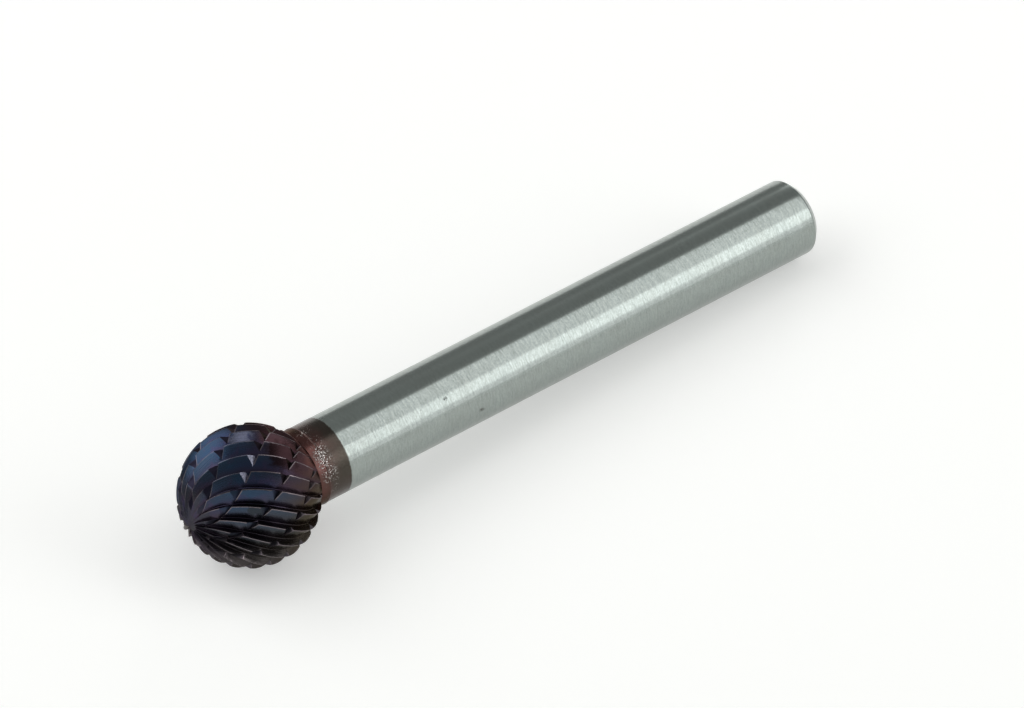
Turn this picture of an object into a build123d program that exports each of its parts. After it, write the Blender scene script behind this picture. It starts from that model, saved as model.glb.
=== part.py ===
"""Ball-nose carbide burr with a fluted head brazed to a plain ground shank.

The burr lies on a flat surface, as it comes to rest when it is put down: the ball and the far
end of the shank both touch the surface, so the axis slopes down a little towards the shank end.

Burr frame, used while the pieces are made: the origin is the centre of the ball, and +X runs
along the axis from the ball to the end of the shank.  A point of the ball has a latitude, which
is its angle from the front pole on -X, and an azimuth, which is its angle about +X from +Y
towards +Z.  Lengths are in millimetres, and angles named *_deg are in degrees.
"""

import os
from math import asin, atan, ceil, cos, degrees, hypot, pi, radians, sin, sqrt, tan

from build123d import *

# ---- Driving dimensions -------------------------------------------------------------------

ball_diameter = 11.11
shank_diameter = 6.35
overall_length = 60.3
shank_end_chamfer = 0.58

collar_length = 0.78
braze_thickness = 0.12
braze_bead_height = 0.03

# Main teeth: right-hand helix, cutting clockwise seen from the shank end.
tooth_count = 21
tooth_phase_deg = 105.6
tooth_twist = 0.64
tooth_twist_growth = 0.083
flute_depth = 0.60
land_width_share = 0.05
gullet_start_share = 0.80
gullet_end_share = 0.88
land_relief = 0.02

# Chip-breaking cross cuts: left-hand notches across the backs of the teeth.  The front wall of a
# notch slopes gently and its rear wall is steep; both angles are from the ball's radius.
cross_cut_count = 10
cross_cut_phase_deg = 137.2
cross_cut_twist = 0.69
cross_cut_depth = 0.41
cross_cut_front_wall_deg = 59.0
cross_cut_rear_wall_deg = 10.0

# Where the flutes and cross cuts start at the front pole and run out at the collar.
front_flat_deg = 6.0
front_fade = 0.90
cross_cut_fade_start_deg = 30.0
runout_deg = 22.0
smallest_step_deg = 1.2

# ---- Sizes that follow --------------------------------------------------------------------

ball_radius = ball_diameter / 2
shank_radius = shank_diameter / 2
shank_end_x = overall_length - ball_radius
first_latitude = radians(front_flat_deg)
last_latitude = pi - asin(shank_radius / ball_radius)
collar_start_x = -ball_radius * cos(last_latitude)
braze_start_x = collar_start_x + collar_length
shank_start_x = braze_start_x + braze_thickness
tooth_pitch = 2 * pi / tooth_count
cross_cut_pitch = 2 * pi / cross_cut_count

# One tooth from its cutting edge back over land and relief to the gullet: each line is a share
# of the tooth pitch and the share of the flute's depth that the surface has dropped there.
tooth_section = [
    (0.0, 0.0),
    (land_width_share, land_relief),
    (0.42, 0.50),
    (0.68, 0.84),
    (gullet_start_share, 0.98),
    (gullet_end_share, 1.0),
]

# Shares of the way from one cross cut to the next at which every tooth line gets a point.
lattice_shares = [0.34, 0.5, 0.66]
widest_wall_share = 0.28


# ---- The fluted ball ----------------------------------------------------------------------

def twist_between(latitude):
    """Azimuth that a tooth line has gained over a cross cut since the equator."""
    past_equator = latitude - pi / 2
    return (tooth_twist + cross_cut_twist) * past_equator + tooth_twist_growth * past_equator**2


def latitude_of_twist(twist):
    """Latitude at which twist_between has a given value."""
    slope = tooth_twist + cross_cut_twist
    if tooth_twist_growth == 0:
        return pi / 2 + twist / slope
    under_root = slope**2 + 4 * tooth_twist_growth * twist
    return pi / 2 + (sqrt(max(under_root, 0.0)) - slope) / (2 * tooth_twist_growth)


def tooth_azimuth(latitude, start):
    """Azimuth of a tooth line that crosses the equator at start."""
    past_equator = latitude - pi / 2
    return start + tooth_twist * past_equator + tooth_twist_growth * past_equator**2


def rear_fade(latitude):
    """Share of full depth that is left where flutes and cross cuts run out at the collar."""
    left = min((last_latitude - latitude) / radians(runout_deg), 1.0)
    return left * (2 - left)


def fade(latitude):
    """Share of full depth of the flutes, which also get shallower towards the front pole."""
    return sin(min(latitude, pi / 2)) ** front_fade * rear_fade(latitude)


def cut_fade(latitude):
    """Share of full depth of the cross cuts, which fade only close to the front pole."""
    return min(sin(latitude) / sin(radians(cross_cut_fade_start_deg)), 1.0) * rear_fade(latitude)


def ball_point(latitude, azimuth, depth):
    """Point at a depth under the ball's surface."""
    radius = ball_radius - depth
    from_axis = radius * sin(latitude)
    return Vector(-radius * cos(latitude), from_axis * cos(azimuth), from_axis * sin(azimuth))


def wall_share(latitude, depth, wall_deg):
    """Width of a cross cut's wall of a given depth, as a share of the way to the next cut."""
    width = depth * tan(radians(wall_deg))
    cut_slope = atan(cross_cut_twist * sin(latitude))
    spacing = ball_radius * sin(latitude) * cross_cut_pitch * cos(cut_slope)
    return min(width / spacing, widest_wall_share)


def tooth_line(start, drop_share):
    """Points along one line of a tooth, from the front pole to the collar.

    Each point is (level, point, is_cut).  The level counts cross cuts: whole numbers lie on the
    bottom of a cross cut, and the same level on two tooth lines is the same place between cuts.
    """
    ahead = start - radians(cross_cut_phase_deg)

    def level_at(latitude):
        return (twist_between(latitude) + ahead) / cross_cut_pitch

    def latitude_at(level):
        return latitude_of_twist(level * cross_cut_pitch - ahead)

    def surface_point(latitude):
        depth = drop_share * flute_depth * fade(latitude)
        return ball_point(latitude, tooth_azimuth(latitude, start), depth)

    def is_clear(latitude):
        margin = radians(smallest_step_deg)
        return first_latitude + margin < latitude < last_latitude - margin

    first_level = level_at(first_latitude)
    last_level = level_at(last_latitude)
    line = [(first_level, surface_point(first_latitude), False)]
    for cut in range(ceil(first_level) - 1, ceil(last_level) + 1):
        bottom = latitude_at(cut)
        if is_clear(bottom):
            bottom_depth = cross_cut_depth * cut_fade(bottom)
            extra_depth = max(bottom_depth - drop_share * flute_depth * fade(bottom), 0)
            front_share = wall_share(bottom, extra_depth, cross_cut_front_wall_deg)
            rear_share = wall_share(bottom, extra_depth, cross_cut_rear_wall_deg)
            front = latitude_at(cut - front_share)
            rear = latitude_at(cut + rear_share)
            if extra_depth > 0 and is_clear(front) and is_clear(rear):
                azimuth = tooth_azimuth(bottom, start)
                line.append((cut - front_share, surface_point(front), False))
                line.append((cut, ball_point(bottom, azimuth, bottom_depth), True))
                line.append((cut + rear_share, surface_point(rear), False))
            else:
                line.append((cut, surface_point(bottom), False))
        for share in lattice_shares:
            between = latitude_at(cut + share)
            if is_clear(between):
                line.append((cut + share, surface_point(between), False))
    line.append((last_level, surface_point(last_latitude), False))
    return line


def strip_between(line, next_line, level_shift):
    """Triangles between two neighbouring tooth lines, joined level by level."""
    triangles = []
    a = 0
    b = 0
    while a < len(line) - 1 or b < len(next_line) - 1:
        if a == len(line) - 1:
            step_a = False
        elif b == len(next_line) - 1:
            step_a = True
        else:
            gap = next_line[b + 1][0] + level_shift - line[a + 1][0]
            same_level = abs(gap) < 1e-9
            step_a = not line[a + 1][2] if same_level else gap > 0
        if step_a:
            triangles.append((line[a][1], next_line[b][1], line[a + 1][1]))
            a += 1
        else:
            triangles.append((line[a][1], next_line[b][1], next_line[b + 1][1]))
            b += 1
    return triangles


def carbide_head():
    """Fluted ball with its short collar, as one closed solid of flat facets."""
    lines = []
    for tooth in range(tooth_count):
        for pitch_share, drop_share in tooth_section:
            start = radians(tooth_phase_deg) + (tooth + pitch_share) * tooth_pitch
            lines.append(tooth_line(start, drop_share))
    front = Vector(-ball_radius + flute_depth * fade(first_latitude) / 2, 0, 0)
    rear_rim = []
    faces = []
    for index, line in enumerate(lines):
        is_last = index == len(lines) - 1
        next_line = lines[0] if is_last else lines[index + 1]
        level_shift = cross_cut_count if is_last else 0
        facets = strip_between(line, next_line, level_shift)
        facets.append((front, next_line[0][1], line[0][1]))
        faces += [Face(Wire.make_polygon(corners)) for corners in facets]
        rim = line[-1][1]
        next_rim = next_line[-1][1]
        back = Vector(braze_start_x, rim.Y, rim.Z)
        next_back = Vector(braze_start_x, next_rim.Y, next_rim.Z)
        faces.append(Face(Wire.make_polygon([rim, next_rim, next_back, back])))
        rear_rim.append(back)
    faces.append(Face(Wire.make_polygon(rear_rim)))
    return Solid(Shell(faces))


# ---- Braze joint and shank ----------------------------------------------------------------

def turned(outline):
    """Solid turned about the axis from (x, radius) points that start and end on it."""
    profile = Face(Wire.make_polygon([Vector(x, 0, radius) for x, radius in outline]))
    return Solid.revolve(profile, 360, Axis.X)


def braze_joint():
    """Thin layer of silver solder between head and shank, with a bead that stands proud."""
    bead_radius = shank_radius + braze_bead_height
    bead_step = braze_thickness / 4
    outline = [
        (braze_start_x, 0),
        (braze_start_x, shank_radius),
        (braze_start_x + bead_step, bead_radius),
        (shank_start_x - bead_step, bead_radius),
        (shank_start_x, shank_radius),
        (shank_start_x, 0),
    ]
    return turned(outline)


def steel_shank():
    """Ground steel shank, chamfered at its free end."""
    outline = [
        (shank_start_x, 0),
        (shank_start_x, shank_radius),
        (shank_end_x - shank_end_chamfer, shank_radius),
        (shank_end_x, shank_radius - shank_end_chamfer),
        (shank_end_x, 0),
    ]
    return turned(outline)


# ---- Lying at rest ------------------------------------------------------------------------

def rest_tilt():
    """Angle by which the axis slopes down when ball and shank end touch the same surface.

    The ball rests on two neighbouring cutting edges, so it reaches a little less far than its
    radius: half the square distance between two edges on either side of the touching point.
    """
    half_spacing = tooth_pitch / 2 * cos(atan(tooth_twist))
    ball_reach = ball_radius * cos(half_spacing)
    touch_x = shank_end_x - shank_end_chamfer
    return asin(ball_reach / hypot(touch_x, shank_radius)) - atan(shank_radius / touch_x)


pieces = {
    "carbide_head": carbide_head(),
    "braze_joint": braze_joint(),
    "steel_shank": steel_shank(),
}
tilt = Rotation(0, degrees(rest_tilt()), 0)
tilted = {name: tilt * piece for name, piece in pieces.items()}
box = Compound(list(tilted.values())).bounding_box()
to_origin = Location((-box.center().X, -box.center().Y, -box.min.Z))

os.makedirs("parts", exist_ok=True)
for name, piece in tilted.items():
    placed = to_origin * piece
    export_step(placed, f"parts/{name}.step")
    print(f"{name}: volume {placed.volume:.2f} mm3, {len(placed.faces())} faces, valid {placed.is_valid}")

print(f"axis slopes down by {degrees(rest_tilt()):.2f} degrees")
print(f"ball centre at {to_origin.position}")
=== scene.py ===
"""Looks of the carbide burr: coated fluted ball, brazed neck and ground steel shank.

Pieces are made in the burr frame, in millimetres: the origin is the centre of the ball and +X runs
along the axis to the end of the shank.  A point of the ball has a latitude, its angle from the
front pole on -X, and an azimuth, its angle about +X from +Y towards +Z.  to_row turns such a point
into the row frame, in metres.
"""

from math import asin, atan, ceil, cos, pi, radians, sin, sqrt, tan

import bpy
from mathutils import Matrix, Vector


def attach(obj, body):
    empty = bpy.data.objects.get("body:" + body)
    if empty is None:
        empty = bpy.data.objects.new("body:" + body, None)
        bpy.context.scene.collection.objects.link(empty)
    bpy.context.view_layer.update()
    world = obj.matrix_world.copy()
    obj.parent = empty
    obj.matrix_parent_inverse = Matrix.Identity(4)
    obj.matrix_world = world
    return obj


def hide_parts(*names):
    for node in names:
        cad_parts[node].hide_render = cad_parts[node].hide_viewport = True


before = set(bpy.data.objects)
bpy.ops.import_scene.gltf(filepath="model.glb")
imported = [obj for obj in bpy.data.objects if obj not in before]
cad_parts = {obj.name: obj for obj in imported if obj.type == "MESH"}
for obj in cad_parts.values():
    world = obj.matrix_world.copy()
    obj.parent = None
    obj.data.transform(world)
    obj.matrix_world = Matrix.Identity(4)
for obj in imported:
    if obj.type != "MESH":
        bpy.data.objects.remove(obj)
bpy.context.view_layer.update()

# ---- Sizes, in millimetres, as the CAD part has them --------------------------------------

BALL_RADIUS = 5.555
SHANK_RADIUS = 3.175
SHANK_END_X = 54.745
END_CHAMFER = 0.58
COLLAR_LENGTH = 0.78
BRAZE_THICKNESS = 0.12
BRAZE_BEAD_HEIGHT = 0.03

TOOTH_COUNT = 21
TOOTH_PHASE = radians(105.6)
TOOTH_TWIST = 0.64
TOOTH_TWIST_GROWTH = 0.083
FLUTE_DEPTH = 0.60
CUT_COUNT = 10
CUT_PHASE = radians(137.2)
CUT_TWIST = 0.69
CUT_DEPTH = 0.41
CUT_FRONT_WALL = radians(59.0)
CUT_REAR_WALL = radians(10.0)
WIDEST_WALL_SHARE = 0.28
FRONT_FLAT = radians(6.0)
FRONT_FADE = 0.90
CUT_FADE_START = radians(30.0)
RUNOUT = radians(22.0)

# Where the burr lies in the row frame.
AXIS_SLOPE = radians(2.4743)
BALL_CENTRE = Vector((-24.63076, -0.00587, 5.51200))

TOOTH_PITCH = 2 * pi / TOOTH_COUNT
CUT_PITCH = 2 * pi / CUT_COUNT
LAST_LATITUDE = pi - asin(SHANK_RADIUS / BALL_RADIUS)
COLLAR_X = -BALL_RADIUS * cos(LAST_LATITUDE)
BRAZE_X = COLLAR_X + COLLAR_LENGTH
SHANK_X = BRAZE_X + BRAZE_THICKNESS
COATING_END_X = 7.43

MM = 0.001
AXIS = Vector((cos(AXIS_SLOPE), 0, -sin(AXIS_SLOPE)))
SIDE = Vector((0, 1, 0))
UP = Vector((sin(AXIS_SLOPE), 0, cos(AXIS_SLOPE)))


def to_row(point):
    """Row-frame place in metres of a burr-frame point in millimetres."""
    return (BALL_CENTRE + AXIS * point[0] + SIDE * point[1] + UP * point[2]) * MM


def burr_object(name, points, faces, sharp_angle):
    """Smooth-shaded object of burr-frame points, creased at edges over sharp_angle."""
    mesh = bpy.data.meshes.new(name)
    mesh.from_pydata([to_row(point) for point in points], [], faces)
    mesh.shade_smooth()
    mesh.set_sharp_from_angle(angle=sharp_angle)
    piece = bpy.data.objects.new(name, mesh)
    bpy.context.collection.objects.link(piece)
    return piece


# ---- Fluted ball --------------------------------------------------------------------------

STEPS_BETWEEN_CUTS = 15
TIP_LATITUDES = (radians(4.6), radians(2.6))
TIP_DEPTH_SHARE = 0.55
COLLAR_RINGS = (COLLAR_X + 0.08, COLLAR_X + 0.3, BRAZE_X - 0.2, BRAZE_X - 0.03, BRAZE_X)
HEAD_SHARP_ANGLE = radians(26)
TURNED_SHARP_ANGLE = radians(35)
NARROWEST_WALL_SHARE = 0.002
FIRST_KEY = -1_000_000
LAST_KEY = 1_000_000
MID_BACK = 0.5
FAR_PAST = 0.5
NO_WALL = 0
FRONT_WALL = 1
REAR_WALL = 2


def twist_between(latitude):
    """Azimuth that a tooth line has gained over a cross cut since the equator."""
    past = latitude - pi / 2
    return (TOOTH_TWIST + CUT_TWIST) * past + TOOTH_TWIST_GROWTH * past**2


def latitude_of_twist(twist):
    """Latitude at which twist_between has a given value."""
    slope = TOOTH_TWIST + CUT_TWIST
    under_root = max(slope**2 + 4 * TOOTH_TWIST_GROWTH * twist, 0)
    return pi / 2 + (sqrt(under_root) - slope) / (2 * TOOTH_TWIST_GROWTH)


def rear_fade(latitude):
    """Share of full depth that is left where flutes and cross cuts run out at the collar."""
    left = min((LAST_LATITUDE - latitude) / RUNOUT, 1.0)
    return left * (2 - left)


def fade(latitude):
    """Share of full depth of the flutes, which also get shallower towards the front pole."""
    return sin(min(latitude, pi / 2)) ** FRONT_FADE * rear_fade(latitude)


def cut_fade(latitude):
    """Share of full depth of the cross cuts, which fade only close to the front pole."""
    return min(sin(latitude) / sin(CUT_FADE_START), 1.0) * rear_fade(latitude)


def ball_point(latitude, azimuth, depth):
    """Point at a depth under the ball's surface."""
    radius = BALL_RADIUS - depth
    from_axis = radius * sin(latitude)
    return (-radius * cos(latitude), from_axis * cos(azimuth), from_axis * sin(azimuth))


def is_fluted(latitude):
    """Whether a latitude is clear of the front pole and of the collar."""
    margin = radians(0.5)
    return FRONT_FLAT + margin < latitude < LAST_LATITUDE - margin


def tooth_section():
    """(pitch share, depth share) of the lines over one tooth, from its edge to the next edge."""
    land_end = 0.05
    gullet = 0.86
    lines = [(0.0, 0.0), (0.014, 0.003), (0.044, 0.017), (0.058, 0.034)]
    for share in (0.10, 0.16, 0.23, 0.31, 0.40, 0.49, 0.58, 0.66, 0.73, 0.79, 0.83):
        back = (share - land_end) / (gullet - land_end)
        lines.append((share, 0.02 + 0.975 * (1 - (1 - back) ** 1.16)))
    lines += [(0.862, 1.0), (0.884, 0.985), (0.902, 0.90), (0.95, 0.46), (0.990, 0.06)]
    return lines


def tooth_line(start, drop_share):
    """Points (key, point, wall, past) along one tooth line, from the front pole to the collar.

    Equal keys on neighbouring lines are the same place between the same two cross cuts.  The wall
    is that of a cross cut on the way to the next point: FRONT_WALL, REAR_WALL or NO_WALL.  Past is
    how far behind the rear rim of a cross cut the point lies, in millimetres, up to FAR_PAST.
    """
    ahead = start - CUT_PHASE

    def latitude_at(level):
        return latitude_of_twist(level * CUT_PITCH - ahead)

    def place(latitude, depth):
        past = latitude - pi / 2
        azimuth = start + TOOTH_TWIST * past + TOOTH_TWIST_GROWTH * past**2
        return ball_point(latitude, azimuth, depth)

    def surface(latitude):
        return place(latitude, drop_share * FLUTE_DEPTH * fade(latitude))

    def cut_at(level):
        """(front width, rear width, depth) of a cross cut, the widths as shares of the way between."""
        no_cut = (NARROWEST_WALL_SHARE, NARROWEST_WALL_SHARE, 0.0)
        bottom = latitude_at(level)
        if not is_fluted(bottom):
            return no_cut
        depth = CUT_DEPTH * cut_fade(bottom)
        below = depth - drop_share * FLUTE_DEPTH * fade(bottom)
        if below <= 0:
            return no_cut
        spacing = BALL_RADIUS * sin(bottom) * CUT_PITCH * cos(atan(CUT_TWIST * sin(bottom)))
        shares = []
        for wall in (CUT_FRONT_WALL, CUT_REAR_WALL):
            share = min(below * tan(wall) / spacing, WIDEST_WALL_SHARE)
            shares.append(max(share, NARROWEST_WALL_SHARE))
        if not is_fluted(latitude_at(level - shares[0])):
            return no_cut
        if not is_fluted(latitude_at(level + shares[1])):
            return no_cut
        return shares[0], shares[1], depth

    first_cut = ceil((twist_between(FRONT_FLAT) + ahead) / CUT_PITCH) - 1
    last_cut = ceil((twist_between(LAST_LATITUDE) + ahead) / CUT_PITCH)
    line = [(FIRST_KEY, surface(FRONT_FLAT), NO_WALL, FAR_PAST)]
    for cut in range(first_cut, last_cut + 1):
        key = cut * (STEPS_BETWEEN_CUTS + 1)
        front, rear, depth = cut_at(cut)
        next_front, next_rear, next_depth = cut_at(cut + 1)
        bottom = latitude_at(cut)
        if is_fluted(bottom):
            point = place(bottom, depth) if depth else surface(bottom)
            line.append((key, point, REAR_WALL if depth else NO_WALL, FAR_PAST))
        rim = Vector(surface(latitude_at(cut + rear))) if depth else None
        for step in range(STEPS_BETWEEN_CUTS):
            share = step / (STEPS_BETWEEN_CUTS - 1)
            latitude = latitude_at(cut + rear + (1 - rear - next_front) * share)
            if is_fluted(latitude):
                wall = FRONT_WALL if share == 1 and next_depth else NO_WALL
                point = surface(latitude)
                past = min((Vector(point) - rim).length, FAR_PAST) if depth else FAR_PAST
                line.append((key + 1 + step, point, wall, past))
    line.append((LAST_KEY, surface(LAST_LATITUDE), NO_WALL, FAR_PAST))
    return line


def strip_between(line, next_line, key_shift):
    """Faces between two neighbouring tooth lines, as pairs (line, place) of corners."""
    faces = []
    a = 0
    b = 0
    while a < len(line) - 1 or b < len(next_line) - 1:
        key = line[a + 1][0] if a < len(line) - 1 else 2 * LAST_KEY
        next_key = next_line[b + 1][0] if b < len(next_line) - 1 else 2 * LAST_KEY
        if abs(next_key) < LAST_KEY:
            next_key += key_shift
        if key == next_key:
            faces.append(((0, a), (1, b), (1, b + 1), (0, a + 1)))
            a += 1
            b += 1
        elif key < next_key:
            faces.append(((0, a), (1, b), (0, a + 1)))
            a += 1
        else:
            faces.append(((0, a), (1, b), (1, b + 1)))
            b += 1
    return faces


def fluted_head():
    """Fluted ball with its short collar, as one closed mesh."""
    lines = []
    points = []
    tooth_places = []
    past_cuts = []
    first = []
    for tooth in range(TOOTH_COUNT):
        for pitch_share, drop_share in tooth_section():
            line = tooth_line(TOOTH_PHASE + (tooth + pitch_share) * TOOTH_PITCH, drop_share)
            lines.append(line)
            first.append(len(points))
            length = 0.0
            previous = Vector(line[0][1])
            for key, point, wall, past in line:
                length += (Vector(point) - previous).length
                previous = Vector(point)
                points.append(point)
                tooth_places.append((tooth, pitch_share, length))
                past_cuts.append(past)
    faces = []
    walls = []
    for index, line in enumerate(lines):
        is_last = index == len(lines) - 1
        following = 0 if is_last else index + 1
        key_shift = CUT_COUNT * (STEPS_BETWEEN_CUTS + 1) if is_last else 0
        starts = (first[index], first[following])
        for corners in strip_between(line, lines[following], key_shift):
            faces.append([starts[side] + place for side, place in corners])
            walls.append(line[corners[0][1]][2] if len(corners) == 4 else NO_WALL)

    def add_ring(ring, place):
        """Next ring of points, each placed from the one before it."""
        new_ring = []
        for index in ring:
            new_ring.append(len(points))
            points.append(place(points[index]))
            tooth_places.append((0, MID_BACK, 0))
            past_cuts.append(FAR_PAST)
        return new_ring

    def bridge(ring, new_ring):
        for i in range(len(ring)):
            j = (i + 1) % len(ring)
            faces.append([ring[i], ring[j], new_ring[j], new_ring[i]])
            walls.append(NO_WALL)

    # Ground tip in front.
    tip_radius = BALL_RADIUS - FLUTE_DEPTH * fade(FRONT_FLAT) * TIP_DEPTH_SHARE
    ring = list(first)
    for latitude in TIP_LATITUDES:
        def onto_tip(point):
            share = tip_radius * sin(latitude) / sqrt(point[1] ** 2 + point[2] ** 2)
            return (-tip_radius * cos(latitude), point[1] * share, point[2] * share)

        new_ring = add_ring(ring, onto_tip)
        bridge(new_ring, ring)
        ring = new_ring
    tip = add_ring([ring[0]], lambda point: (-tip_radius, 0, 0))[0]
    for i in range(len(ring)):
        faces.append([tip, ring[(i + 1) % len(ring)], ring[i]])
        walls.append(NO_WALL)

    # Collar and its rear face.
    ring = [start + len(line) - 1 for start, line in zip(first, lines)]
    for x in COLLAR_RINGS:
        new_ring = add_ring(ring, lambda point: (x, point[1], point[2]))
        bridge(ring, new_ring)
        ring = new_ring
    faces.append(list(reversed(ring)))
    walls.append(NO_WALL)

    piece = burr_object("fluted_head", points, faces, HEAD_SHARP_ANGLE)
    place_data = piece.data.attributes.new("tooth_place", "FLOAT_VECTOR", "POINT").data
    place_data.foreach_set("vector", [value for place in tooth_places for value in place])
    past_data = piece.data.attributes.new("past_cut", "FLOAT", "POINT").data
    past_data.foreach_set("value", past_cuts)
    for name, wall in (("front_wall", FRONT_WALL), ("rear_wall", REAR_WALL)):
        wall_data = piece.data.attributes.new(name, "FLOAT", "FACE").data
        wall_data.foreach_set("value", [float(value == wall) for value in walls])
    return piece


# ---- Turned pieces ------------------------------------------------------------------------

def turned(name, profile, segments, sharp_angle):
    """Closed piece turned about the axis from (x, radius) points that start and end on it."""
    points = [(profile[0][0], 0, 0)]
    for x, radius in profile[1:-1]:
        for column in range(segments):
            angle = 2 * pi * column / segments
            points.append((x, radius * cos(angle), radius * sin(angle)))
    points.append((profile[-1][0], 0, 0))
    last = len(points) - 1
    rings = len(profile) - 2
    faces = []
    uvs = []
    lengths = [0.0]
    for (x0, r0), (x1, r1) in zip(profile, profile[1:]):
        lengths.append(lengths[-1] + sqrt((x1 - x0) ** 2 + (r1 - r0) ** 2))
    for column in range(segments):
        after = (column + 1) % segments
        v0 = column / segments
        v1 = (column + 1) / segments
        faces.append((0, 1 + after, 1 + column))
        uvs += [(0, (v0 + v1) / 2), (lengths[1], v1), (lengths[1], v0)]
        for ring in range(rings - 1):
            base = 1 + ring * segments
            above = base + segments
            faces.append((base + column, base + after, above + after, above + column))
            u0 = lengths[ring + 1]
            u1 = lengths[ring + 2]
            uvs += [(u0, v0), (u0, v1), (u1, v1), (u1, v0)]
        base = 1 + (rings - 1) * segments
        faces.append((base + column, base + after, last))
        uvs += [(lengths[-2], v0), (lengths[-2], v1), (lengths[-1], (v0 + v1) / 2)]
    piece = burr_object(name, points, faces, sharp_angle)
    layer = piece.data.uv_layers.new(name="along_and_around")
    for loop, uv in zip(layer.data, uvs):
        loop.uv = uv
    return piece


def rounded(corner_from, corner, corner_to, radius, steps):
    """Points of a small round in place of a profile's corner."""
    here = Vector(corner)
    before = (Vector(corner_from) - here).normalized()
    after = (Vector(corner_to) - here).normalized()
    points = []
    for step in range(steps + 1):
        share = step / steps
        a = here + before * radius * (1 - share) ** 2
        b = after * radius * share**2
        points.append(tuple(a + b))
    return points


def shank_profile():
    """Outline of the shank with rounded corners at its chamfered end."""
    edge_round = 0.07
    shoulder_round = 0.10
    neck_bevel = 0.02
    chamfer_x = SHANK_END_X - END_CHAMFER
    chamfer_radius = SHANK_RADIUS - END_CHAMFER
    profile = [
        (SHANK_X, 0),
        (SHANK_X, SHANK_RADIUS - neck_bevel),
        (SHANK_X + neck_bevel, SHANK_RADIUS),
    ]
    x = SHANK_X + 0.1
    while x < chamfer_x - 2 * edge_round:
        profile.append((x, SHANK_RADIUS))
        x += 0.1 if x < COATING_END_X + 0.3 else 1.5
    neck = (SHANK_X, SHANK_RADIUS)
    shoulder = (chamfer_x, SHANK_RADIUS)
    edge = (SHANK_END_X, chamfer_radius)
    profile += rounded(neck, shoulder, edge, shoulder_round, 4)
    profile += rounded(shoulder, edge, (SHANK_END_X, 0), edge_round, 3)
    profile += [(SHANK_END_X, 1.5), (SHANK_END_X, 0.3), (SHANK_END_X, 0)]
    return profile


def braze_profile():
    """Outline of the braze joint with its low round bead."""
    profile = [(BRAZE_X, 0), (BRAZE_X, SHANK_RADIUS)]
    for step in range(1, 8):
        share = step / 8
        height = BRAZE_BEAD_HEIGHT * sin(pi * share) ** 0.6
        profile.append((BRAZE_X + BRAZE_THICKNESS * share, SHANK_RADIUS + height))
    profile += [(SHANK_X, SHANK_RADIUS), (SHANK_X, 0)]
    return profile


# ---- Materials ----------------------------------------------------------------------------

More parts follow.
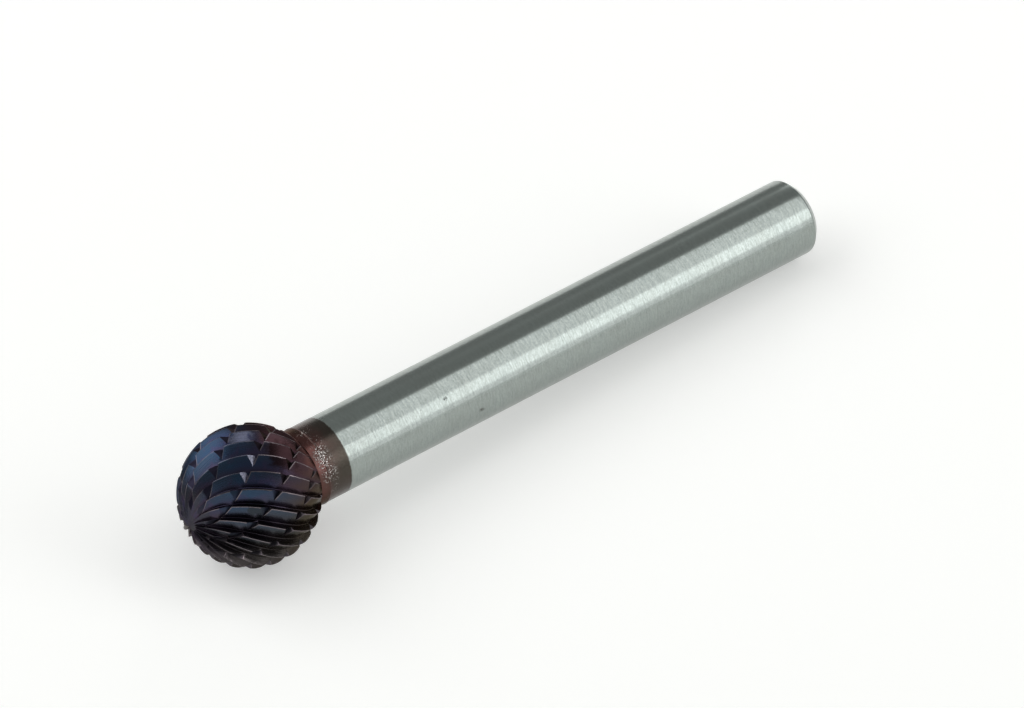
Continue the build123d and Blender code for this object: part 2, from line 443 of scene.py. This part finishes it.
class Finish:
    """A node material with short ways to add nodes and link them."""

    def __init__(self, name):
        self.material = bpy.data.materials.new(name)
        self.material.use_nodes = True
        self.tree = self.material.node_tree
        self.tree.nodes.clear()
        self.shader = self.tree.nodes.new("ShaderNodeBsdfPrincipled")
        output = self.tree.nodes.new("ShaderNodeOutputMaterial")
        self.tree.links.new(self.shader.outputs[0], output.inputs["Surface"])

    def set(self, socket, value):
        """Links or sets one input socket."""
        if isinstance(value, bpy.types.NodeSocket):
            self.tree.links.new(value, socket)
        else:
            socket.default_value = value

    def add(self, kind, inputs=(), **settings):
        """New node with settings, and inputs by index or name."""
        node = self.tree.nodes.new(kind)
        for key, value in settings.items():
            setattr(node, key, value)
        for key, value in dict(inputs).items():
            self.set(node.inputs[key], value)
        return node

    def math(self, operation, a, b=0.0, c=0.0, clamp=False):
        node = self.add("ShaderNodeMath", {0: a, 1: b, 2: c}, operation=operation, use_clamp=clamp)
        return node.outputs[0]

    def map(self, value, low, high, to_low=0.0, to_high=1.0, smooth=False):
        kind = "SMOOTHSTEP" if smooth else "LINEAR"
        inputs = {0: value, 1: low, 2: high, 3: to_low, 4: to_high}
        return self.add("ShaderNodeMapRange", inputs, interpolation_type=kind).outputs[0]

    def mix(self, share, a, b, blend="MIX"):
        node = self.add("ShaderNodeMix", data_type="RGBA", blend_type=blend)
        self.set(node.inputs[0], share)
        for socket, value in ((node.inputs[6], a), (node.inputs[7], b)):
            self.set(socket, value if isinstance(value, bpy.types.NodeSocket) else (*value, 1.0))
        return node.outputs[2]

    def noise(self, vector, scale, detail=2.0, roughness=0.5):
        inputs = {"Vector": vector, "Scale": scale, "Detail": detail, "Roughness": roughness}
        return self.add("ShaderNodeTexNoise", inputs).outputs[0]

    def stretched(self, vector, scale):
        """Vector scaled by a different number on each axis."""
        inputs = {0: vector, 1: scale}
        return self.add("ShaderNodeVectorMath", inputs, operation="MULTIPLY").outputs[0]

    def ramp(self, value, stops):
        node = self.add("ShaderNodeValToRGB", {0: value})
        elements = node.color_ramp.elements
        while len(elements) < len(stops):
            elements.new(0.5)
        for element, (position, colour) in zip(elements, stops):
            element.position = position
            element.color = (*colour, 1.0)
        return node.outputs[0]

    def from_spot(self, place, spot):
        """Distance of a place from a spot."""
        return self.add("ShaderNodeVectorMath", {0: place, 1: spot}, operation="DISTANCE").outputs[1]

    def along(self, place, direction):
        """How far a place lies along a direction."""
        inputs = {0: place, 1: direction}
        return self.add("ShaderNodeVectorMath", inputs, operation="DOT_PRODUCT").outputs[1]

    def attribute(self, name, output):
        return self.add("ShaderNodeAttribute", attribute_name=name).outputs[output]

    def burr_place(self):
        """Burr-frame place in millimetres."""
        coordinates = self.add("ShaderNodeTexCoord").outputs["Object"]
        mapping = self.add("ShaderNodeMapping", {"Vector": coordinates}, vector_type="TEXTURE")
        mapping.inputs["Location"].default_value = BALL_CENTRE * MM
        mapping.inputs["Rotation"].default_value = (0, AXIS_SLOPE, 0)
        mapping.inputs["Scale"].default_value = (MM, MM, MM)
        return mapping.outputs[0]

    def split(self, vector):
        return self.add("ShaderNodeSeparateXYZ", {0: vector}).outputs

    def bump(self, height, distance, strength=1.0, normal=None):
        inputs = {"Height": height, "Distance": distance, "Strength": strength}
        if normal is not None:
            inputs["Normal"] = normal
        return self.add("ShaderNodeBump", inputs).outputs[0]


COAT_STOPS = [
    (0.00, (0.050, 0.047, 0.056)),
    (0.07, (0.046, 0.045, 0.060)),
    (0.13, (0.036, 0.048, 0.082)),
    (0.24, (0.029, 0.054, 0.102)),
    (0.40, (0.032, 0.044, 0.090)),
    (0.47, (0.038, 0.034, 0.058)),
    (0.56, (0.044, 0.023, 0.028)),
    (0.67, (0.062, 0.030, 0.031)),
    (0.78, (0.112, 0.050, 0.045)),
    (0.90, (0.068, 0.050, 0.043)),
    (1.00, (0.058, 0.050, 0.041)),
]
COAT_FROM_X = -5.6
SPECKLES_X = BRAZE_X + 0.15
# Bright solder speckles, densest at this angle from the top in the band of the neck's bright reflection,
# where they are partly painted glints.
GLINT_BAND_ANGLE = radians(42)
SOLDER_AND_GLINT = (0.62, 0.58, 0.56)
VIOLET_BLOTCH = (0.058, 0.042, 0.092)
# Painted shade and a painted reflection of the floor on the underside of the ball.
UNDERSIDE_GREY_SHADE = (0.056, 0.058, 0.070)
UNDERSIDE_BROWN_SHADE = (0.066, 0.047, 0.046)
UNDERSIDE_OLIVE_REFLECTION = (0.110, 0.088, 0.054)
EDGE_BLUE = (0.034, 0.060, 0.092)
GULLET_PLUM = (0.050, 0.030, 0.052)
# Painted reflection of the floor and painted shade on the low -Y side of the ball.
FLOOR_REFLECTION_GREY = (0.064, 0.060, 0.046)
# Painted reflection: light, grainy colour on two front walls of the cross cuts.
REFLECTION_GRAIN_DARK = (0.10, 0.105, 0.15)
REFLECTION_GRAIN_LIGHT = (0.32, 0.33, 0.41)
REFLECTION_FRONT_DARK = (0.060, 0.055, 0.080)
# Dark front walls of the cross cuts: partly dark coating, partly painted shade.
CUT_BLUE = (0.022, 0.020, 0.036)
CUT_BROWN = (0.026, 0.018, 0.019)
REAR_WALL_GREY = (0.20, 0.175, 0.195)
# Worn coating on the cutting edges, partly a painted highlight along them.
WORN_EDGE_AND_HIGHLIGHT = (0.22, 0.185, 0.20)
WORN_NECK = (0.085, 0.078, 0.068)
STEEL_DARK = (0.258, 0.290, 0.275)
STEEL_LIGHT = (0.362, 0.400, 0.382)
STEEL_CLOUD = (0.25, 0.262, 0.236)
NICK_DARK = (0.085, 0.085, 0.075)
SOLDER_DARK = (0.085, 0.046, 0.042)
SOLDER_LIGHT = (0.13, 0.09, 0.08)
# Centres and radius of the two painted reflection spots on front walls.
BRIGHT_REFLECTION_SPOTS = [(-1.08, -1.32, 5.07), (-2.38, -1.93, 4.38)]
BRIGHT_REFLECTION_RADIUS = 0.75
# Direction of the low -Y side, which gets a painted floor reflection and painted shade.
LOW_FRONT_SIDE = (0.0, -0.643, -0.766)

# Stains of the coating, and one painted highlight: the light lavender patch near the top, where the
# overhead lamp's reflection falls. Centre, radius and colour.
STAINS_AND_HIGHLIGHT = [
    ((1.70, -1.90, 4.80), 1.70, (0.018, 0.009, 0.010)),
    ((-0.08, 1.09, 5.13), 1.00, (0.085, 0.090, 0.130)),
    ((-2.40, -4.00, 2.90), 0.90, (0.030, 0.036, 0.044)),
]

# Nicks in the shank: centre and radius.
NICKS = [
    ((20.11, -3.17, 0.12), 0.28),
    ((17.12, -2.22, 2.27), 0.16),
    ((14.79, -2.18, 2.30), 0.12),
]

# Direction of the part of the ball where the cutting edges are lightened least: the least wear and the
# weakest painted highlight.
DIM_EDGE_SIDE = (-0.43, 0.156, 0.886)


def coat_colour(finish, place, x):
    """Interference colour of the coating, which runs from blue in front to brown at the neck."""
    blotches = finish.noise(place, 0.42, detail=2.0)
    shift = finish.map(blotches, 0.3, 0.7, -1.0, 1.0)
    shifted = finish.math("ADD", x, shift)
    colour = finish.ramp(finish.map(shifted, COAT_FROM_X, COATING_END_X), COAT_STOPS)
    patches = finish.noise(place, 0.95, detail=3.0, roughness=0.6)
    violet = finish.map(patches, 0.50, 0.64, 0.0, 0.45, smooth=True)
    violet = finish.math("MULTIPLY", violet, finish.map(x, -0.5, 2.0, 1.0, 0.0))
    return finish.mix(violet, colour, VIOLET_BLOTCH)


def angle_from_top(finish, place):
    """Angle about the burr's axis from its top towards the -Y side, in radians."""
    y, z = finish.split(place)[1:3]
    return finish.math("ARCTAN2", finish.math("MULTIPLY", y, -1.0), z)


def speckles(finish, place, x):
    """Share of bright solder speckles around the braze joint, densest in the band of the neck's bright
    reflection, where they are partly painted glints.
    """
    from_band = finish.math("ABSOLUTE", finish.math("SUBTRACT", x, SPECKLES_X))
    band = finish.map(from_band, 0.25, 0.85, 1.0, 0.0)
    grains = finish.noise(place, 8.5, detail=3.0, roughness=0.65)
    patches = finish.noise(place, 0.9, detail=2.0)
    threshold = finish.map(patches, 0.35, 0.65, 0.57, 0.46)
    # Speckles are densest in the band of the neck's bright reflection: painted glints.
    from_glint_band = finish.math("SUBTRACT", angle_from_top(finish, place), GLINT_BAND_ANGLE)
    from_glint_band = finish.math("ABSOLUTE", from_glint_band)
    threshold = finish.math("ADD", threshold, finish.map(from_glint_band, radians(14), radians(40), 0.0, 0.12))
    shown = finish.map(finish.math("SUBTRACT", grains, threshold), 0.0, 0.05)
    return finish.math("MULTIPLY", shown, band)


def coated_carbide():
    finish = Finish("coated_carbide_nodes")
    place = finish.burr_place()
    x = finish.split(place)[0]
    colour = coat_colour(finish, place, x)

    tooth_place = finish.attribute("tooth_place", "Vector")
    share = finish.split(tooth_place)[1]
    front_wall = finish.attribute("front_wall", "Fac")
    rear_wall = finish.attribute("rear_wall", "Fac")
    wall = finish.math("MAXIMUM", front_wall, rear_wall)
    on_ball = finish.map(x, COLLAR_X - 0.1, COLLAR_X, 1.0, 0.0)

    # Painted shade and a painted reflection of the floor: the side away from the top is greyer in front
    # and olive towards the neck.
    from_top = angle_from_top(finish, place)
    low = finish.map(from_top, radians(36), radians(62), smooth=True)
    olive = finish.map(x, -0.6, 2.0, 0.0, 1.0, smooth=True)
    under = finish.map(from_top, radians(58), radians(84), smooth=True)
    olive_or_brown = finish.mix(under, UNDERSIDE_BROWN_SHADE, UNDERSIDE_OLIVE_REFLECTION)
    underside_shade_and_reflection = finish.mix(olive, UNDERSIDE_GREY_SHADE, olive_or_brown)
    low = finish.math("MULTIPLY", low, finish.math("MULTIPLY", on_ball, 0.85))
    colour = finish.mix(low, colour, underside_shade_and_reflection)

    # Each tooth back runs from a lighter blue under its edge to plum at the gullet.
    near_edge = finish.map(share, 0.05, 0.55, 0.45, 0.0, smooth=True)
    near_edge = finish.math("MULTIPLY", near_edge, finish.map(x, 0.0, 2.0, 1.0, 0.2))
    near_edge = finish.math("MULTIPLY", near_edge, finish.map(x, -5.3, -4.2, 0.1, 1.0))
    colour = finish.mix(finish.math("MULTIPLY", near_edge, on_ball), colour, EDGE_BLUE)
    near_gullet = finish.map(share, 0.40, 0.86, 0.0, 0.55, smooth=True)
    colour = finish.mix(finish.math("MULTIPLY", near_gullet, on_ball), colour, GULLET_PLUM)

    # Painted reflection of the floor and painted shade: greyer colour on the low -Y side.
    side = finish.along(place, LOW_FRONT_SIDE)
    painted_floor_reflection = finish.map(side, 0.5, 4.5, 0.0, 0.60, smooth=True)
    colour = finish.mix(painted_floor_reflection, colour, FLOOR_REFLECTION_GREY)

    ragged = finish.map(finish.noise(place, 2.2, detail=3.0), 0.3, 0.7, -0.35, 0.35)
    # Stains, and the painted highlight near the top.
    for spot, radius, patch_colour in STAINS_AND_HIGHLIGHT:
        away = finish.from_spot(place, spot)
        away = finish.math("ADD", away, ragged)
        near = finish.map(away, radius * 0.55, radius, 0.9, 0.0, smooth=True)
        colour = finish.mix(near, colour, patch_colour)

    # Grinding lines along the flutes.
    line_place = finish.stretched(tooth_place, (7.3, 34.0, 0.55))
    lines = finish.noise(line_place, 1.0, detail=3.0, roughness=0.6)
    grain = finish.noise(place, 13.0, detail=3.0, roughness=0.7)

    # Dark cross cuts with a light rear wall. Front walls are dark near the top and towards the neck,
    # partly dark coating, partly painted shade; two front walls get a light, grainy painted reflection.
    painted_reflection = 0.0
    for spot in BRIGHT_REFLECTION_SPOTS:
        away = finish.from_spot(place, spot)
        near = finish.map(away, BRIGHT_REFLECTION_RADIUS - 0.1, BRIGHT_REFLECTION_RADIUS, 1.0, 0.0)
        painted_reflection = finish.math("MAXIMUM", painted_reflection, near)
    reflection_colour = finish.mix(finish.map(grain, 0.35, 0.65), REFLECTION_GRAIN_DARK, REFLECTION_GRAIN_LIGHT)
    reflection_colour = finish.mix(finish.map(x, -1.9, -1.7, 0.45, 0.0), reflection_colour, REFLECTION_FRONT_DARK)
    cut_colour = finish.mix(finish.map(x, -1.0, 1.5), CUT_BLUE, CUT_BROWN)
    front_colour = finish.mix(painted_reflection, cut_colour, reflection_colour)
    # Front walls darker near the top and towards the neck: partly dark coating, partly painted shade.
    near_top = finish.map(from_top, radians(6), radians(22), 1.0, 0.25)
    dark_wall = finish.math("MAXIMUM", near_top, finish.map(x, -1.5, 0.5, 0.0, 0.9))
    dark_wall = finish.math("MULTIPLY", front_wall, finish.math("MAXIMUM", dark_wall, painted_reflection))
    colour = finish.mix(dark_wall, colour, front_colour)
    colour = finish.mix(rear_wall, colour, REAR_WALL_GREY)

    # Coating worn off the cutting edges and the rims of the cross cuts, partly a painted highlight along
    # them.
    edge_raggedness = finish.noise(place, 3.1, detail=4.0)
    from_edge = finish.math("ADD", share, finish.map(edge_raggedness, 0.3, 0.7, -0.014, 0.014))
    land = finish.map(from_edge, 0.030, 0.060, 1.0, 0.0)
    edge = finish.math("MAXIMUM", land, finish.map(from_edge, 0.985, 0.998))
    past_cut = finish.attribute("past_cut", "Fac")
    edge = finish.math("MAXIMUM", edge, finish.map(past_cut, 0.05, 0.09, 0.8, 0.0))
    edge = finish.math("MULTIPLY", edge, finish.map(wall, 0.0, 1.0, 0.9, 0.0))
    # Edges are lightened least on one side of the ball: less wear and a weaker painted highlight there.
    toward_dim_edges = finish.along(place, DIM_EDGE_SIDE)
    edge = finish.math("MULTIPLY", edge, finish.map(toward_dim_edges, 4.4, 5.1, 1.0, 0.35))
    edge = finish.math("MULTIPLY", edge, finish.map(x, -5.35, -4.8, 0.0, 1.0))
    colour = finish.mix(finish.math("MULTIPLY", edge, on_ball), colour, WORN_EDGE_AND_HIGHLIGHT)

    # Solder speckles, partly painted glints.
    speckles_and_glints = speckles(finish, place, x)
    colour = finish.mix(speckles_and_glints, colour, SOLDER_AND_GLINT)

    finish.set(finish.shader.inputs["Base Color"], colour)
    finish.set(finish.shader.inputs["Metallic"], 1.0)
    finish.set(finish.shader.inputs["Specular Tint"], (0.55, 0.53, 0.50, 1.0))
    roughness = finish.map(lines, 0.3, 0.7, 0.18, 0.32)
    roughness = finish.math("MAXIMUM", roughness, finish.math("MULTIPLY", wall, 0.36))
    collar_roughness = finish.map(on_ball, 0.0, 1.0, 0.26, 0.0)
    finish.set(finish.shader.inputs["Roughness"], finish.math("MAXIMUM", roughness, collar_roughness))
    normal = finish.bump(lines, 0.004 * MM)
    normal = finish.bump(grain, 0.003 * MM, normal=normal)
    normal = finish.bump(speckles_and_glints, 0.02 * MM, normal=normal)
    finish.set(finish.shader.inputs["Normal"], normal)
    return finish.material


def ground_steel():
    finish = Finish("ground_steel_nodes")
    place = finish.burr_place()
    x = finish.split(place)[0]

    fine = finish.noise(finish.stretched(place, (7.5, 1.3, 1.3)), 1.0, detail=3.0, roughness=0.75)
    broad = finish.noise(finish.stretched(place, (2.0, 0.35, 0.35)), 1.0, detail=2.0)
    grain = finish.noise(place, 7.0, detail=3.0, roughness=0.75)
    cloud = finish.noise(place, 0.5, detail=3.0)
    streaks = finish.math("ADD", finish.math("MULTIPLY", fine, 0.50), finish.math("MULTIPLY", broad, 0.12))
    streaks = finish.math("ADD", streaks, finish.math("MULTIPLY", grain, 0.38))

    colour = finish.mix(finish.map(streaks, 0.35, 0.65), STEEL_DARK, STEEL_LIGHT)
    colour = finish.mix(finish.map(cloud, 0.35, 0.75, 0.0, 0.2), colour, STEEL_CLOUD)

    nicked = 0.0
    for spot, radius in NICKS:
        away = finish.from_spot(place, spot)
        away = finish.math("ADD", away, finish.map(finish.noise(place, 3.0), 0.3, 0.7, -0.14, 0.14))
        nicked = finish.math("MAXIMUM", nicked, finish.map(away, radius * 0.45, radius, 1.0, 0.0))
    dull = finish.math("MULTIPLY", nicked, finish.map(finish.noise(place, 6.0), 0.38, 0.62, 0.25, 1.0))
    colour = finish.mix(dull, colour, NICK_DARK)

    # Coating that reaches onto the steel, with a slightly ragged edge.
    ragged = finish.map(finish.noise(place, 9.0), 0.3, 0.7, -0.04, 0.04)
    coated = finish.map(
        finish.math("ADD", x, ragged), COATING_END_X - 0.04, COATING_END_X + 0.04, 1.0, 0.0
    )
    worn_coat = finish.map(grain, 0.4, 0.7, 0.0, 0.5)
    tint = finish.mix(worn_coat, coat_colour(finish, place, x), WORN_NECK)
    # Solder speckles, partly painted glints.
    speckles_and_glints = speckles(finish, place, x)
    tint = finish.mix(speckles_and_glints, tint, SOLDER_AND_GLINT)
    colour = finish.mix(coated, colour, tint)

    finish.set(finish.shader.inputs["Base Color"], colour)
    finish.set(finish.shader.inputs["Metallic"], 1.0)
    roughness = finish.map(streaks, 0.35, 0.65, 0.27, 0.17)
    finish.set(finish.shader.inputs["Roughness"], roughness)
    finish.set(finish.shader.inputs["Anisotropic"], 0.6)
    tangent = finish.add("ShaderNodeTangent", direction_type="UV_MAP", uv_map="along_and_around")
    finish.set(finish.shader.inputs["Tangent"], tangent.outputs[0])
    normal = finish.bump(streaks, 0.0025 * MM)
    normal = finish.bump(finish.math("MULTIPLY", nicked, -1.0), 0.03 * MM, normal=normal)
    normal = finish.bump(finish.math("MULTIPLY", coated, grain), 0.01 * MM, normal=normal)
    normal = finish.bump(speckles_and_glints, 0.02 * MM, normal=normal)
    finish.set(finish.shader.inputs["Normal"], normal)
    return finish.material


def silver_solder():
    finish = Finish("silver_solder_nodes")
    place = finish.burr_place()
    x = finish.split(place)[0]
    lumps = finish.noise(place, 4.0, detail=4.0, roughness=0.7)
    tinted = finish.mix(finish.map(lumps, 0.4, 0.6), SOLDER_DARK, SOLDER_LIGHT)
    # Solder speckles, partly painted glints.
    colour = finish.mix(speckles(finish, place, x), tinted, SOLDER_AND_GLINT)
    finish.set(finish.shader.inputs["Base Color"], colour)
    finish.set(finish.shader.inputs["Metallic"], 1.0)
    finish.set(finish.shader.inputs["Roughness"], finish.map(lumps, 0.3, 0.7, 0.45, 0.3))
    finish.set(finish.shader.inputs["Normal"], finish.bump(lumps, 0.03 * MM))
    return finish.material


FLOOR_COLOUR = (0.84, 0.84, 0.82, 1.0)
NEAR_DISTANCE = 0.28
FAR_DISTANCE = 1.00
NEAR_GLOW = 0.34
FAR_GLOW = 0.78


def pale_floor():
    """Pale matt floor, paler where it is seen than where it lights the object, most so far away."""
    finish = Finish("pale_floor_nodes")
    finish.set(finish.shader.inputs["Base Color"], FLOOR_COLOUR)
    finish.set(finish.shader.inputs["Roughness"], 0.9)
    finish.set(finish.shader.inputs["Specular IOR Level"], 0.1)
    rays = finish.add("ShaderNodeLightPath").outputs
    seen = finish.math("MAXIMUM", rays["Is Camera Ray"], rays["Is Transmission Ray"])
    seen = finish.math("MAXIMUM", seen, rays["Is Glossy Ray"])
    place = finish.add("ShaderNodeTexCoord").outputs["Object"]
    distance = finish.add("ShaderNodeVectorMath", {0: place}, operation="LENGTH").outputs["Value"]
    strength = finish.map(distance, NEAR_DISTANCE, FAR_DISTANCE, NEAR_GLOW, FAR_GLOW, smooth=True)
    finish.set(finish.shader.inputs["Emission Color"], (1.0, 1.0, 1.0, 1.0))
    finish.set(finish.shader.inputs["Emission Strength"], finish.math("MULTIPLY", seen, strength))
    return finish.material


# ---- The object ---------------------------------------------------------------------------

head = fluted_head()
braze = turned("braze_bead", braze_profile(), 160, TURNED_SHARP_ANGLE)
shank = turned("ground_shank", shank_profile(), 192, TURNED_SHARP_ANGLE)

for piece, node, slot, material in (
    (head, "carbide_head", "coated_carbide", coated_carbide()),
    (braze, "braze_joint", "silver_solder", silver_solder()),
    (shank, "steel_shank", "ground_steel", ground_steel()),
):
    piece.data.materials.append(material)
    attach(piece, "root")
    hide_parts(node)

# ---- Floor, light and camera --------------------------------------------------------------

def level_sheet(name, reach, material):
    """Level square of the set at height 0, which reaches so far on each side, in metres."""
    mesh = bpy.data.meshes.new(name)
    corners = [(-reach, -reach, 0.0), (reach, -reach, 0.0), (reach, reach, 0.0), (-reach, reach, 0.0)]
    mesh.from_pydata(corners, [], [(0, 1, 2, 3)])
    mesh.materials.append(material)
    sheet = bpy.data.objects.new(name, mesh)
    bpy.context.collection.objects.link(sheet)


def backdrop(radius, height, segments, material):
    """Low round wall of the set, in metres, that stands in for the horizon."""
    points = []
    faces = []
    for column in range(segments):
        angle = 2 * pi * column / segments
        points.append((radius * cos(angle), radius * sin(angle), 0.0))
        points.append((radius * cos(angle), radius * sin(angle), height))
        here = 2 * column
        after = 2 * ((column + 1) % segments)
        faces.append((here, here + 1, after + 1, after))
    mesh = bpy.data.meshes.new("backdrop")
    mesh.from_pydata(points, [], faces)
    mesh.materials.append(material)
    wall = bpy.data.objects.new("backdrop", mesh)
    bpy.context.collection.objects.link(wall)


FLOOR_REACH = 3.2
BACKDROP_RADIUS = 1.5
BACKDROP_HEIGHT = 0.075
BACKDROP_SEGMENTS = 96

floor_material = pale_floor()
level_sheet("floor", FLOOR_REACH, floor_material)
backdrop(BACKDROP_RADIUS, BACKDROP_HEIGHT, BACKDROP_SEGMENTS, floor_material)


def softbox(name, centre, normal, width, height, radiance):
    """Area lamp at centre that shines along -normal, with its width as level as can be."""
    data = bpy.data.lights.new(name, "AREA")
    data.shape = "RECTANGLE"
    data.size = width
    data.size_y = height
    data.energy = radiance * pi * width * height
    lamp = bpy.data.objects.new(name, data)
    bpy.context.collection.objects.link(lamp)
    lamp.location = centre
    lamp.rotation_mode = "QUATERNION"
    lamp.rotation_quaternion = (-Vector(normal)).to_track_quat("-Z", "Y")
    lamp.visible_camera = False


def around_axis(angle_deg, reach, x):
    """Point at a height angle over the +Y side and at a reach from the burr's length axis."""
    angle = radians(angle_deg)
    return Vector((x, reach * cos(angle), reach * sin(angle)))


# Two boxes with edges along the shank make its broad and its bright reflection.
SHANK_BOX_X = 0.39
SHANK_BOX_WIDTH = 0.38
for name, angle_deg, reach, height, radiance in (
    ("front_top_box", 131.0, 0.50, 0.983, 1.36),
    ("front_core_box", 145.5, 0.46, 0.245, 1.07),
):
    centre = around_axis(angle_deg, reach, SHANK_BOX_X)
    softbox(name, centre, around_axis(angle_deg, 1.0, 0.0), SHANK_BOX_WIDTH, height, radiance)

BOX_DISTANCE = 0.60
for name, direction, width, height, radiance in (
    ("left_back_box", (-0.50, 0.515, 0.695), 0.80, 0.42, 1.60),
    ("right_back_box", (0.755, 0.569, 0.325), 0.17, 0.15, 1.90),
    ("overhead_box", (0.02, 0.16, 0.985), 0.20, 0.20, 1.60),
):
    towards = Vector(direction).normalized()
    softbox(name, towards * BOX_DISTANCE, towards, width, height, radiance)

world = bpy.data.worlds.new("studio")
bpy.context.scene.world = world
world.use_nodes = True
nodes = world.node_tree.nodes
links = world.node_tree.links
nodes.clear()
ambient = nodes.new("ShaderNodeBackground")
ambient.inputs["Color"].default_value = (0.97, 1.0, 0.985, 1.0)
ambient.inputs["Strength"].default_value = 0.30
world_output = nodes.new("ShaderNodeOutputWorld")
links.new(ambient.outputs[0], world_output.inputs["Surface"])

# The camera's place is the ball's centre and the axis as the camera sees them (right, down,
# forward), in millimetres.
BALL_SEEN_AT = Vector((-19.94, 10.74, 531.16))
AXIS_TURN = radians(-27.21)
AXIS_DEPTH = radians(60.86)
CAMERA_AZIMUTH = radians(130.0)
FOCAL_PIXELS = 7000.0
FRAME_PIXELS = 1024.0
SENSOR_WIDTH = 36.0

axis_seen = Vector((cos(AXIS_TURN) * sin(AXIS_DEPTH), sin(AXIS_TURN) * sin(AXIS_DEPTH), cos(AXIS_DEPTH)))
to_camera = -BALL_SEEN_AT.normalized()
facing_seen = (to_camera - axis_seen * to_camera.dot(axis_seen)).normalized()
across_seen = axis_seen.cross(facing_seen)
facing = SIDE * cos(CAMERA_AZIMUTH) + UP * sin(CAMERA_AZIMUTH)
across = -SIDE * sin(CAMERA_AZIMUTH) + UP * cos(CAMERA_AZIMUTH)


def camera_axis(index):
    """Row-frame direction of the camera's right (0), down (1) or forward (2)."""
    return AXIS * axis_seen[index] + facing * facing_seen[index] + across * across_seen[index]


right, down, forward = (camera_axis(index) for index in range(3))
seen_offset = right * BALL_SEEN_AT.x + down * BALL_SEEN_AT.y + forward * BALL_SEEN_AT.z
camera_data = bpy.data.cameras.new("camera")
camera_data.sensor_width = SENSOR_WIDTH
camera_data.lens = FOCAL_PIXELS / FRAME_PIXELS * SENSOR_WIDTH
camera_data.clip_start = 0.05
camera_data.clip_end = 20.0
camera = bpy.data.objects.new("camera", camera_data)
bpy.context.collection.objects.link(camera)
turn = Matrix((right, -down, -forward)).transposed().to_4x4()
camera.matrix_world = Matrix.Translation((BALL_CENTRE - seen_offset) * MM) @ turn
bpy.context.scene.camera = camera
bpy.context.scene.view_settings.view_transform = "Standard"
